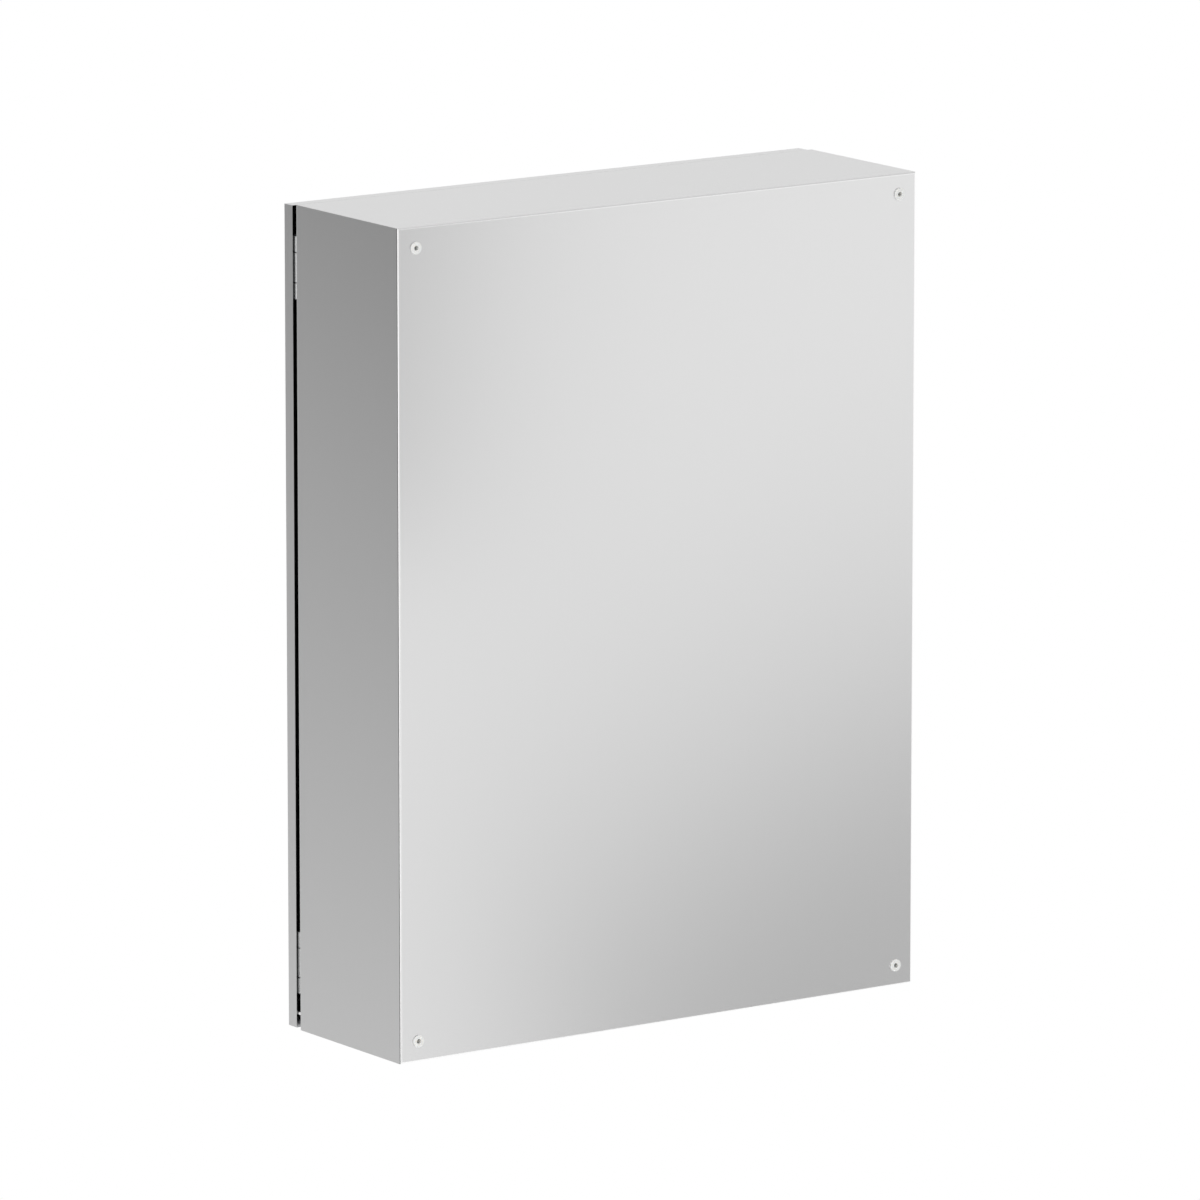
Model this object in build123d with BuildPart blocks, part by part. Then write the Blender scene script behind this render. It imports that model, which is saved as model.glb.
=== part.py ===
from build123d import *
import os

# Medicine cabinet for a wall: a folded steel case, a mirror door on two butt hinges,
# two glass shelves on slotted rails and a magnetic catch. Sizes are in millimetres.
# X runs to the right of a person who faces the door, the door faces -Y and Z is up.
# The origin is on the wall, midway between the four wall screws.

# Case, folded from sheet with a hemmed flange round the front opening
case_width = 450.0
case_height = 600.0
case_depth = 130.0
sheet = 1.0
inside_bend = 0.5
flange_width = 12.0
hem_width = 8.0
hem_nose_flat = 0.2

# Nylon bushes that take the wall screws and keep the steel off the wall
bush_edge_distance = 15.0
bush_flange_radius = 4.5
bush_flange_height = 1.2
bush_flange_chamfer = 0.3
bush_shank_radius = 3.1
bush_rim_lip = 0.7
bush_rim_height = 3.5
bush_rim_taper = 0.5
bush_bore_radius = 1.8
bush_fit = 0.1

# Door, a shallow tray that holds the mirror
door_gap = 4.0
door_thickness = 11.0
door_reveal = 1.0
door_hem_depth = 6.0
mirror_thickness = 5.0
mirror_recess = 0.5
mirror_clearance = 0.5
mirror_arris = 0.4
tape_width = 30.0
tape_count = 5
tape_side_margin = 60.0
tape_end_margin = 20.0

# Butt hinges in the gap between the case and the door
hinge_height = 45.0
hinge_top_distance = 23.0
hinge_bottom_distance = 26.5
hinge_inset = 1.8
end_knuckle = 11.2
knuckle_gap = 0.8
barrel_clearance = 0.8
leaf_sheet = 0.5
leaf_width = 8.0
leaf_corner = 1.5
pin_fit = 0.05
pin_head_lip = 0.4
pin_head_height = 0.5
pin_head_taper = 0.25

# Rivets through the hinge leaves
rivet_radius = 1.2
rivet_head_radius = 2.4
rivet_head_height = 0.8
rivet_head_taper = 0.7
rivet_tail_radius = 1.9
rivet_tail_height = 0.9
rivet_fit = 0.05
rivet_edge_distance = 2.8
rivet_spacing = 26.0

# Slotted rails for the shelves, hat channels on the side walls
rail_sheet = 0.8
rail_width = 26.0
rail_channel_width = 12.0
rail_depth = 5.0
rail_bend = 1.2
rail_end_margin = 24.0
rail_back_distance = 24.0
rail_front_distance = 30.0
slot_width = 7.6
slot_height = 3.4
slot_pitch = 25.0
slot_end_margin = 12.0

# Clips that hook into the slots, each with a soft pad under the glass
clip_width = 7.0
clip_lug_height = 2.2
clip_hook_drop = 3.0
clip_hook_thickness = 1.2
clip_hook_clearance = 0.2
clip_plate_height = 10.0
clip_plate_thickness = 1.2
clip_ledge_length = 13.0
clip_ledge_edge = 1.2
pad_length = 6.0
pad_width = 5.0
pad_height = 0.8
pad_ledge_margin = 4.0

# Glass shelves
shelf_thickness = 5.0
shelf_side_clearance = 1.0
shelf_back_clearance = 4.0
shelf_front_clearance = 15.0
shelf_corner = 4.0
shelf_arris = 0.5

# Magnetic catch on a folded bracket
catch_clearance = 0.6
catch_width = 14.0
catch_depth = 18.0
catch_height = 32.0
catch_corner = 1.5
catch_chamfer = 0.7
catch_ear_length = 10.0
catch_ear_thickness = 3.0
catch_wall = 2.0
catch_fit = 0.1
magnet_thickness = 6.0
pole_thickness = 1.0
pole_reach = 0.8
magnet_setback = 1.0
catch_gap = 0.2
bracket_depth = 14.0
bracket_clearance = 0.3
bracket_foot = 10.0
screw_radius = 1.4
screw_fit = 0.05
screw_head_radius = 2.6
screw_head_height = 1.6
screw_head_taper = 0.7
screw_tail = 2.0

# Strike plate on the door and soft buffers on the case
strike_thickness = 1.0
strike_width = 14.0
strike_height = 56.0
strike_corner = 2.0
strike_screw_margin = 8.0
countersink_radius = 2.3
buffer_radius = 1.1
buffer_taper = 0.3
buffer_clearance = 0.3
buffer_side_distance = 1.8
buffer_end_distance = 11.5

# Planes along Y, from the wall forwards
case_back = -bush_flange_height
case_inner_back = case_back - sheet
case_front = case_back - case_depth
flange_back = case_front + sheet
hem_back = flange_back + sheet
door_back = case_front - door_gap
door_inner_back = door_back - sheet
door_front = door_back - door_thickness
mirror_front = door_front + mirror_recess
mirror_back = mirror_front + mirror_thickness

# Widths and heights worked out from the case
bend_radius = inside_bend + sheet
hem_radius = sheet - hem_nose_flat / 2
inner_half_width = case_width / 2 - sheet
inner_half_height = case_height / 2 - sheet
opening_width = case_width - 2 * flange_width
opening_height = case_height - 2 * flange_width
bush_pitch_x = case_width - 2 * bush_edge_distance
bush_pitch_z = case_height - 2 * bush_edge_distance
door_height = case_height - 2 * door_reveal
mirror_width = case_width - 4 * sheet - 2 * mirror_clearance
mirror_height = door_height - 4 * sheet - 2 * mirror_clearance

# Hinge line and the places of its rivets
hinge_x = case_width / 2 - hinge_inset
hinge_y = case_front - door_gap / 2
hinge_centres = {
    "upper": case_height / 2 - hinge_top_distance - hinge_height / 2,
    "lower": -case_height / 2 + hinge_bottom_distance + hinge_height / 2,
}
barrel_radius = door_gap / 2 - barrel_clearance
pin_radius = barrel_radius - leaf_sheet - pin_fit
pin_head_radius = pin_radius + pin_head_lip
rivet_x = hinge_x - leaf_width + rivet_edge_distance
rivet_places = [
    (rivet_x, centre + end * rivet_spacing / 2) for centre in hinge_centres.values() for end in (-1, 1)
]

# Rails, slots and the heights of the two shelves
rail_length = 2 * (inner_half_height - rail_end_margin)
slot_count = int((rail_length - 2 * slot_end_margin) // slot_pitch) + 1
lower_slot = round((slot_count - 1) / 2 - case_height / 6 / slot_pitch)
shelf_slots = {"lower": lower_slot, "upper": slot_count - 1 - lower_slot}
rail_rows = {
    "rear": case_inner_back - rail_back_distance,
    "front": flange_back + rail_front_distance,
}
sides = {"left": -1, "right": 1}

# Magnetic catch on the side away from the hinges
catch_left = -opening_width / 2 + catch_clearance
catch_x = catch_left + catch_width / 2
catch_face = door_back + strike_thickness + catch_gap + pole_reach
catch_screw_z = catch_height / 2 + catch_ear_length / 2
bracket_height = catch_height + 2 * catch_ear_length
bracket_front = hem_back + bracket_clearance
strike_screw_z = strike_height / 2 - strike_screw_margin
pocket_width = magnet_thickness + 2 * pole_thickness + 2 * catch_fit
pocket_height = catch_height - 2 * catch_wall
pocket_depth = catch_depth - catch_wall

os.makedirs("parts", exist_ok=True)


def front_plane(y):
    """A plane square to Y at the given place, drawn in X and Z and facing the front."""
    return Plane.XZ.offset(-y)


def save(piece, name):
    """Label a finished piece and write it under its own name."""
    piece.label = name
    export_step(piece, f"parts/{name}.step")


def folded_block(width, height, depth, back, radius):
    """A block with its back face at the given place along Y.

    Its front and back rims are rounded as folds are, and the four corners between them stay sharp.
    """
    with BuildPart(front_plane(back)) as block:
        Box(width, height, depth, align=(Align.CENTER, Align.CENTER, Align.MIN))
        rims = block.edges().group_by(Axis.Y)
        fillet(rims[0] + rims[-1], radius)
    return block.part


def slot_floor(index):
    """Height of the lower edge of a rail slot, which carries a clip."""
    return (index - (slot_count - 1) / 2) * slot_pitch - slot_height / 2


# Case shell: a pan folded from one sheet, welded and ground at its four corners, with a
# hemmed flange round the opening that is mitred where its sides meet
case_block = folded_block(case_width, case_height, case_depth, case_back, bend_radius)
case_room = folded_block(
    2 * inner_half_width, 2 * inner_half_height, case_depth - 2 * sheet, case_inner_back, inside_bend
)
with BuildPart() as case_shell:
    add(case_block)
    add(case_room, mode=Mode.SUBTRACT)
    with BuildSketch(front_plane(hem_back)):
        Rectangle(opening_width + 2 * hem_width, opening_height + 2 * hem_width)
    extrude(amount=sheet)
    with BuildSketch(front_plane(hem_back)):
        Rectangle(opening_width, opening_height)
    extrude(amount=2 * sheet, mode=Mode.SUBTRACT)
    hem_edges = case_shell.edges(Select.LAST).group_by(Axis.Y)
    fillet(hem_edges[0] + hem_edges[-1], hem_radius)
    with BuildSketch(front_plane(case_back)):
        with GridLocations(bush_pitch_x, bush_pitch_z, 2, 2):
            Circle(bush_shank_radius + bush_fit)
    extrude(amount=sheet, mode=Mode.SUBTRACT)
    with BuildSketch(front_plane(hem_back)):
        with Locations(*rivet_places):
            Circle(rivet_radius + rivet_fit)
    extrude(amount=2 * sheet, mode=Mode.SUBTRACT)
save(case_shell.part, "case_shell")


# Wall bushes: a flange outside, a snap rim inside and a bore for the wall screw
bush_rim_radius = bush_shank_radius + bush_fit + bush_rim_lip
bush_end = case_inner_back - bush_rim_height
with BuildPart() as bush:
    with BuildSketch(Plane.XY) as bush_profile:
        with BuildLine():
            Polyline(
                (bush_bore_radius, 0),
                (bush_flange_radius, 0),
                (bush_flange_radius, case_back),
                (bush_shank_radius, case_back),
                (bush_shank_radius, case_inner_back),
                (bush_rim_radius, case_inner_back),
                (bush_rim_radius - bush_rim_taper, bush_end),
                (bush_bore_radius, bush_end),
                close=True,
            )
        make_face()
        flange_corner = bush_profile.vertices().group_by(Axis.X)[-1].sort_by(Axis.Y)[-1]
        chamfer(flange_corner, bush_flange_chamfer)
    revolve(axis=Axis.Y)
with BuildPart() as wall_bushes:
    with Locations(*[(i * bush_pitch_x / 2, 0, j * bush_pitch_z / 2) for i in (-1, 1) for j in (-1, 1)]):
        add(bush.part)
save(wall_bushes.part, "wall_bushes")


def shelf_rail(side, centre_y):
    """A slotted hat channel that stands on a side wall: side is 1 on the right, -1 on the left."""
    wall_x = side * inner_half_width
    end_plane = Plane((wall_x, centre_y, -rail_length / 2), x_dir=(0, side, 0), z_dir=(0, 0, 1))
    wall_plane = Plane((wall_x, centre_y, 0), x_dir=(0, -side, 0), z_dir=(-side, 0, 0))
    web_inside = rail_depth - rail_sheet
    leg = rail_channel_width / 2
    foot = rail_width / 2
    with BuildPart() as rail:
        with BuildSketch(end_plane):
            with BuildLine():
                wall_side = FilletPolyline(
                    (-foot, 0),
                    (-leg, 0),
                    (-leg, web_inside),
                    (leg, web_inside),
                    (leg, 0),
                    (foot, 0),
                    radius=rail_bend,
                )
                offset(wall_side, amount=rail_sheet, side=Side.LEFT)
            make_face()
        extrude(amount=rail_length)
        with BuildSketch(wall_plane):
            with GridLocations(slot_width, slot_pitch, 1, slot_count):
                Rectangle(slot_width, slot_height)
        extrude(amount=rail_depth, mode=Mode.SUBTRACT)
    return rail.part


for side_name, side in sides.items():
    for row_name, row_y in rail_rows.items():
        save(shelf_rail(side, row_y), f"shelf_rail_{side_name}_{row_name}")


# Shelf clips: a hook through the slot, a plate on the rail and a ledge under the shelf
hook_front = rail_depth - rail_sheet - clip_hook_clearance
hook_back = hook_front - clip_hook_thickness
plate_front = rail_depth + clip_plate_thickness
ledge_end = rail_depth + clip_ledge_length
clip_places = [
    (side, row_y, slot_floor(index))
    for index in shelf_slots.values()
    for side in sides.values()
    for row_y in rail_rows.values()
]
with BuildPart() as shelf_clips:
    for side, row_y, floor_z in clip_places:
        clip_plane = Plane(
            (side * inner_half_width, row_y, floor_z), x_dir=(-side, 0, 0), z_dir=(0, side, 0)
        )
        with BuildSketch(clip_plane):
            with BuildLine():
                Polyline(
                    (hook_back, -clip_hook_drop),
                    (hook_front, -clip_hook_drop),
                    (hook_front, 0),
                    (rail_depth, 0),
                    (rail_depth, -clip_plate_height),
                    (plate_front, -clip_plate_height),
                    (ledge_end, clip_lug_height - clip_ledge_edge),
                    (ledge_end, clip_lug_height),
                    (hook_back, clip_lug_height),
                    close=True,
                )
            make_face()
        extrude(amount=clip_width / 2, both=True)
save(shelf_clips.part, "shelf_clips")

# Soft pads on the ledges
pad_x = inner_half_width - ledge_end + pad_ledge_margin
with BuildPart() as shelf_pads:
    for side, row_y, floor_z in clip_places:
        with BuildSketch(Plane((side * pad_x, row_y, floor_z + clip_lug_height))):
            Rectangle(pad_length, pad_width)
        extrude(amount=pad_height)
save(shelf_pads.part, "shelf_pads")

# Glass shelves
shelf_width = 2 * (inner_half_width - rail_depth - shelf_side_clearance)
shelf_rear_edge = case_inner_back - shelf_back_clearance
shelf_front_edge = flange_back + shelf_front_clearance
shelf_depth = shelf_rear_edge - shelf_front_edge
for shelf_name, index in shelf_slots.items():
    shelf_z = slot_floor(index) + clip_lug_height + pad_height
    with BuildPart() as shelf:
        with BuildSketch(Plane((0, (shelf_rear_edge + shelf_front_edge) / 2, shelf_z))):
            RectangleRounded(shelf_width, shelf_depth, shelf_corner)
        extrude(amount=shelf_thickness)
        shelf_edges = shelf.edges().group_by(Axis.Z)
        chamfer(shelf_edges[0] + shelf_edges[-1], shelf_arris)
    save(shelf.part, f"shelf_{shelf_name}")


def hinge_leaf(centre_z, seat_y, facing, knuckles):
    """One leaf of a butt hinge, with its knuckles rolled round the hinge line.

    seat_y is the face that carries the leaf. facing is 1 where the leaf lies in front of its
    seat and -1 where it lies behind it. knuckles holds the lower and upper end of each knuckle.
    """
    root_x = hinge_x - barrel_radius - knuckle_gap
    free_x = hinge_x - leaf_width
    leaf_middle = seat_y - facing * leaf_sheet / 2
    with BuildPart() as leaf:
        with BuildSketch(Plane.XZ.offset(-leaf_middle)) as blank:
            with Locations(((root_x + free_x) / 2, centre_z)):
                Rectangle(root_x - free_x, hinge_height)
            fillet(blank.vertices().group_by(Axis.X)[0], leaf_corner)
        extrude(amount=leaf_sheet / 2, both=True)
        for low, high in knuckles:
            with BuildSketch(Plane.XY.offset(low)):
                with Locations((hinge_x, hinge_y)):
                    Circle(barrel_radius)
                Polygon(
                    (root_x, seat_y),
                    (hinge_x, hinge_y + facing * barrel_radius),
                    (hinge_x, hinge_y + facing * (barrel_radius - leaf_sheet)),
                    (root_x, seat_y - facing * leaf_sheet),
                    align=None,
                )
                with Locations((hinge_x, hinge_y)):
                    Circle(pin_radius + pin_fit, mode=Mode.SUBTRACT)
            extrude(amount=high - low)
        with BuildSketch(Plane.XZ.offset(-leaf_middle)):
            with Locations(*[(x, z) for x, z in rivet_places if abs(z - centre_z) < hinge_height / 2]):
                Circle(rivet_radius + rivet_fit)
        extrude(amount=leaf_sheet / 2, both=True, mode=Mode.SUBTRACT)
    return leaf.part


# Hinges: the case leaf has the two end knuckles, the door leaf the middle one
for hinge_name, centre_z in hinge_centres.items():
    bottom_z = centre_z - hinge_height / 2
    top_z = centre_z + hinge_height / 2
    end_knuckles = [(bottom_z, bottom_z + end_knuckle), (top_z - end_knuckle, top_z)]
    middle_knuckle = [(bottom_z + end_knuckle + knuckle_gap, top_z - end_knuckle - knuckle_gap)]
    case_leaf = hinge_leaf(centre_z, case_front, 1, end_knuckles)
    door_leaf = hinge_leaf(centre_z, door_back, -1, middle_knuckle)
    with BuildPart() as hinge_pin:
        with BuildSketch(Plane((hinge_x, hinge_y, 0), x_dir=(1, 0, 0), z_dir=(0, -1, 0))):
            with BuildLine():
                Polyline(
                    (0, bottom_z - pin_head_height),
                    (pin_head_radius - pin_head_taper, bottom_z - pin_head_height),
                    (pin_head_radius, bottom_z),
                    (pin_radius, bottom_z),
                    (pin_radius, top_z),
                    (pin_head_radius, top_z),
                    (pin_head_radius - pin_head_taper, top_z + pin_head_height),
                    (0, top_z + pin_head_height),
                    close=True,
                )
            make_face()
        revolve(axis=Axis((hinge_x, hinge_y, 0), (0, 0, 1)))
    save(case_leaf, f"hinge_{hinge_name}_case_leaf")
    save(door_leaf, f"hinge_{hinge_name}_door_leaf")
    save(hinge_pin.part, f"hinge_{hinge_name}_pin")


def rivet_set(leaf_face, towards, grip):
    """The four rivets of one leaf of each hinge.

    leaf_face is where the heads seat, towards is the way from head to tail along Y, 1 or -1,
    and grip is the thickness that the rivets hold together.
    """
    head_top = leaf_face - towards * rivet_head_height
    tail_face = leaf_face + towards * grip
    tail_end = tail_face + towards * rivet_tail_height
    with BuildPart() as rivet:
        with BuildSketch(Plane.XY):
            with BuildLine():
                Polyline(
                    (0, head_top),
                    (rivet_head_radius - rivet_head_taper, head_top),
                    (rivet_head_radius, leaf_face),
                    (rivet_radius, leaf_face),
                    (rivet_radius, tail_face),
                    (rivet_tail_radius, tail_face),
                    (rivet_tail_radius, tail_end),
                    (0, tail_end),
                    close=True,
                )
            make_face()
        revolve(axis=Axis.Y)
    with BuildPart() as rivets:
        with Locations(*[(x, 0, z) for x, z in rivet_places]):
            add(rivet.part)
    return rivets.part


save(rivet_set(case_front - leaf_sheet, 1, leaf_sheet + 2 * sheet), "hinge_case_rivets")
save(rivet_set(door_back + leaf_sheet, -1, leaf_sheet + sheet), "hinge_door_rivets")


# Catch bracket: a folded hat that carries the catch clear of the front flange
bracket_y = bracket_front + bracket_depth / 2
bracket_wall = Plane((-inner_half_width, bracket_y, 0), x_dir=(0, 0, 1), z_dir=(0, 1, 0))
web_outside = catch_left + inner_half_width
with BuildPart() as catch_bracket:
    with BuildSketch(bracket_wall):
        with BuildLine():
            bracket_line = FilletPolyline(
                (-bracket_height / 2 - bracket_foot, 0),
                (-bracket_height / 2, 0),
                (-bracket_height / 2, web_outside - sheet),
                (bracket_height / 2, web_outside - sheet),
                (bracket_height / 2, 0),
                (bracket_height / 2 + bracket_foot, 0),
                radius=bend_radius,
            )
            offset(bracket_line, amount=sheet, side=Side.LEFT)
        make_face()
    extrude(amount=bracket_depth / 2, both=True)
    with BuildSketch(Plane((catch_left, bracket_y, 0), x_dir=(0, 1, 0), z_dir=(1, 0, 0))):
        with GridLocations(bracket_depth, 2 * catch_screw_z, 1, 2):
            Circle(screw_radius + screw_fit)
    extrude(amount=-sheet, mode=Mode.SUBTRACT)
save(catch_bracket.part, "catch_bracket")

# Catch housing: a moulded body with an ear at each end and a pocket for the magnet
ear_plane = Plane((catch_left, bracket_y, 0), x_dir=(0, 1, 0), z_dir=(1, 0, 0))
with BuildPart() as catch_housing:
    with BuildSketch(Plane((catch_left, catch_face + catch_depth / 2, 0), x_dir=(0, 1, 0), z_dir=(1, 0, 0))):
        RectangleRounded(catch_depth, catch_height, catch_corner)
    extrude(amount=catch_width)
    chamfer(catch_housing.faces().sort_by(Axis.X)[-1].edges(), catch_chamfer)
    with BuildSketch(ear_plane):
        RectangleRounded(bracket_depth - 2 * catch_fit, bracket_height, catch_corner)
    extrude(amount=catch_ear_thickness)
    with BuildSketch(Plane((catch_x, catch_face, 0), x_dir=(1, 0, 0), z_dir=(0, -1, 0))):
        Rectangle(pocket_width, pocket_height)
    extrude(amount=-pocket_depth, mode=Mode.SUBTRACT)
    with BuildSketch(ear_plane):
        with GridLocations(bracket_depth, 2 * catch_screw_z, 1, 2):
            Circle(screw_radius + screw_fit)
    extrude(amount=catch_ear_thickness, mode=Mode.SUBTRACT)
save(catch_housing.part, "catch_housing")

# Magnet between two pole plates, which stand out of the pocket
pocket_floor = catch_face + pocket_depth
pole_height = pocket_height - 2 * catch_fit
with BuildPart() as catch_magnet:
    with BuildSketch(Plane((catch_x, pocket_floor, 0), x_dir=(1, 0, 0), z_dir=(0, -1, 0))):
        Rectangle(magnet_thickness, pole_height)
    extrude(amount=pocket_depth - magnet_setback)
save(catch_magnet.part, "catch_magnet")
with BuildPart() as catch_pole_plates:
    with BuildSketch(Plane((catch_x, pocket_floor, 0), x_dir=(1, 0, 0), z_dir=(0, -1, 0))):
        with GridLocations(magnet_thickness + pole_thickness, pole_height, 2, 1):
            Rectangle(pole_thickness, pole_height)
    extrude(amount=pocket_depth + pole_reach)
save(catch_pole_plates.part, "catch_pole_plates")

# Screws through the ears of the catch into the bracket
ear_face = catch_left + catch_ear_thickness
catch_screw_end = catch_left - sheet - screw_tail
with BuildPart() as catch_screw:
    with BuildSketch(Plane.XY):
        with BuildLine():
            Polyline(
                (catch_screw_end, 0),
                (catch_screw_end, screw_radius),
                (ear_face, screw_radius),
                (ear_face, screw_head_radius),
                (ear_face + screw_head_height, screw_head_radius - screw_head_taper),
                (ear_face + screw_head_height, 0),
                close=True,
            )
        make_face()
    revolve(axis=Axis.X)
with BuildPart() as catch_screws:
    with Locations((0, bracket_y, catch_screw_z), (0, bracket_y, -catch_screw_z)):
        add(catch_screw.part)
save(catch_screws.part, "catch_screws")


# Soft buffers on the front flange: below the hinges and at both ends of the catch side
buffer_x = case_width / 2 - buffer_side_distance
buffer_z = case_height / 2 - buffer_end_distance
buffer_places = [(buffer_x, -buffer_z), (-buffer_x, -buffer_z), (-buffer_x, buffer_z)]
with BuildPart() as door_buffer:
    with BuildSketch(Plane.XY):
        with BuildLine():
            Polyline(
                (0, case_front),
                (buffer_radius, case_front),
                (buffer_radius - buffer_taper, door_back + buffer_clearance),
                (0, door_back + buffer_clearance),
                close=True,
            )
        make_face()
    revolve(axis=Axis.Y)
with BuildPart() as door_buffers:
    with Locations(*[(x, 0, z) for x, z in buffer_places]):
        add(door_buffer.part)
save(door_buffers.part, "door_buffers")


# Door tray: a hemmed rim, mitred at its corners, with a back that is welded in flush with
# the cut edge of the rim, so that the back edges of the door are sharp
tray_room_depth = door_thickness - sheet
with BuildPart() as door_tray:
    with BuildSketch(front_plane(door_back)):
        Rectangle(case_width, door_height)
    extrude(amount=door_thickness)
    with BuildSketch(front_plane(door_inner_back)):
        Rectangle(case_width - 2 * sheet, door_height - 2 * sheet)
    extrude(amount=tray_room_depth, mode=Mode.SUBTRACT)
    with BuildSketch(front_plane(door_front + door_hem_depth)):
        Rectangle(case_width - sheet, door_height - sheet)
        Rectangle(case_width - 4 * sheet, door_height - 4 * sheet, mode=Mode.SUBTRACT)
    extrude(amount=door_hem_depth)
    fillet(door_tray.faces().sort_by(Axis.Y)[0].edges(), hem_radius)
    with BuildSketch(front_plane(door_back)):
        with Locations(*rivet_places):
            Circle(rivet_radius + rivet_fit)
        with Locations((catch_x, strike_screw_z), (catch_x, -strike_screw_z)):
            Circle(screw_radius + screw_fit)
    extrude(amount=sheet, mode=Mode.SUBTRACT)
save(door_tray.part, "door_tray")

# Mirror glass with a ground arris, and the tape that bonds it into the tray
with BuildPart() as mirror_glass:
    with BuildSketch(front_plane(mirror_back)):
        Rectangle(mirror_width, mirror_height)
    extrude(amount=mirror_thickness)
    mirror_edges = mirror_glass.edges().group_by(Axis.Y)
    chamfer(mirror_edges[0] + mirror_edges[-1], mirror_arris)
save(mirror_glass.part, "mirror_glass")
tape_pitch = (mirror_width - 2 * tape_side_margin - tape_width) / (tape_count - 1)
with BuildPart() as mirror_tape_strips:
    with BuildSketch(front_plane(door_inner_back)):
        with GridLocations(tape_pitch, mirror_height, tape_count, 1):
            Rectangle(tape_width, mirror_height - 2 * tape_end_margin)
    extrude(amount=door_inner_back - mirror_back)
save(mirror_tape_strips.part, "mirror_tape_strips")

# Strike plate that the magnet holds, with two countersunk screws
strike_face = door_back + strike_thickness
strike_plane = Plane((catch_x, strike_face, 0), x_dir=(-1, 0, 0), z_dir=(0, 1, 0))
with BuildPart(strike_plane) as strike_plate:
    with BuildSketch(strike_plane):
        RectangleRounded(strike_width, strike_height, strike_corner)
    extrude(amount=-strike_thickness)
    with GridLocations(strike_width, 2 * strike_screw_z, 1, 2):
        CounterSinkHole(
            screw_radius + screw_fit,
            countersink_radius + screw_fit,
            depth=strike_thickness,
            counter_sink_angle=90,
        )
save(strike_plate.part, "strike_plate")
with BuildPart() as strike_screw:
    with BuildSketch(Plane.XY):
        with BuildLine():
            Polyline(
                (0, strike_face),
                (countersink_radius, strike_face),
                (screw_radius, strike_face - countersink_radius + screw_radius),
                (screw_radius, door_inner_back - screw_tail),
                (0, door_inner_back - screw_tail),
                close=True,
            )
        make_face()
    revolve(axis=Axis.Y)
with BuildPart() as strike_screws:
    with Locations((catch_x, 0, strike_screw_z), (catch_x, 0, -strike_screw_z)):
        add(strike_screw.part)
save(strike_screws.part, "strike_screws")
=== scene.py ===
"""Finishes, fasteners and studio for a steel medicine cabinet with a mirror door."""
import math

import bmesh
import bpy
from bpy.props import FloatProperty, FloatVectorProperty, IntProperty, PointerProperty
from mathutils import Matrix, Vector


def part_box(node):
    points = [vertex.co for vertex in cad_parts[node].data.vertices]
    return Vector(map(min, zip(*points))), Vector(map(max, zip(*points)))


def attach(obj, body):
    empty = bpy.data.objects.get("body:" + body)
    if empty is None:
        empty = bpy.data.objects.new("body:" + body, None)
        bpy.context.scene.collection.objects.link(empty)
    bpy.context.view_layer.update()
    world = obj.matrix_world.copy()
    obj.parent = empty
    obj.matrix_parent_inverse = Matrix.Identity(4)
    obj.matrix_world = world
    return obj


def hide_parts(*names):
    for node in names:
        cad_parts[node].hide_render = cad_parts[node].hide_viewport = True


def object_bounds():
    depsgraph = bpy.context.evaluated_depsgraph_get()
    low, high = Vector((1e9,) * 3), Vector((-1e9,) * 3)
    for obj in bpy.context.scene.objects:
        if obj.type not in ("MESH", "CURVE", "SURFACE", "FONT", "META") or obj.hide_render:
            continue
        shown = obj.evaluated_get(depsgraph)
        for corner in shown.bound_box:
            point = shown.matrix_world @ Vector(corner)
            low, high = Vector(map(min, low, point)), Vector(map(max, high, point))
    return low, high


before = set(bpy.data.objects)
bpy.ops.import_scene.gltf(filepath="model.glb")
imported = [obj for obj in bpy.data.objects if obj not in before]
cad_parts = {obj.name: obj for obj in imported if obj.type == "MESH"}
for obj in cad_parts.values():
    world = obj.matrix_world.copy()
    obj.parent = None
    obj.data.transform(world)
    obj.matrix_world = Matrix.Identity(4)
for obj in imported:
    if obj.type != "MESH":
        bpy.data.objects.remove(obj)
cad_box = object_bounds()

bl_info = {
    "name": "Mirror Cabinet Dressing",
    "version": (1, 0, 0),
    "blender": (4, 5, 0),
    "location": "View3D > Sidebar > Cabinet",
    "description": "Gives a steel mirror cabinet its finishes, its fasteners and a studio",
    "category": "Object",
}

MM = 0.001
TOUCHING = 0.005 * MM
FLAT_ANGLE = math.radians(1)
SHARP_EDGE = math.radians(35)
TURNED_SIDES = 32

# The range that a noise pattern mostly keeps to
NOISE_LOW = 0.3
NOISE_HIGH = 0.7

# Shares of a unit normal along an axis: from SQUARE_ON a face counts as square to that axis, from LYING
# along Z it lies flat, and below BENT along every axis it is on a bend
SQUARE_ON = 0.9
LYING = 0.7
BENT = 0.985

# Least and greatest roughness of the steel sheet where it is brushed, where it is as the mill left it and
# on its hidden side, and the roughness of its bends
BRUSHED_ROUGHNESS = (0.276, 0.284)
MILL_ROUGHNESS = (0.17, 0.21)
HIDDEN_ROUGHNESS = (0.09, 0.12)
BURNISHED_ROUGHNESS = 0.18


def linear(colour):
    """Linear RGBA of an sRGB hex value."""
    channels = [int(colour[i:i + 2], 16) / 255 for i in (0, 2, 4)]
    return [c / 12.92 if c <= 0.04045 else ((c + 0.055) / 1.055) ** 2.4 for c in channels] + [1.0]


def colour_property(name, description, colour):
    """A colour that a user can change, with an sRGB hex value as its default."""
    return FloatVectorProperty(
        name=name, description=description, subtype="COLOR", size=4, min=0.0, max=1.0, default=linear(colour)
    )


def length_property(name, description, millimetres):
    """A length that a user can change, given in millimetres."""
    return FloatProperty(
        name=name, description=description, unit="LENGTH", default=millimetres * MM, precision=5
    )


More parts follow.
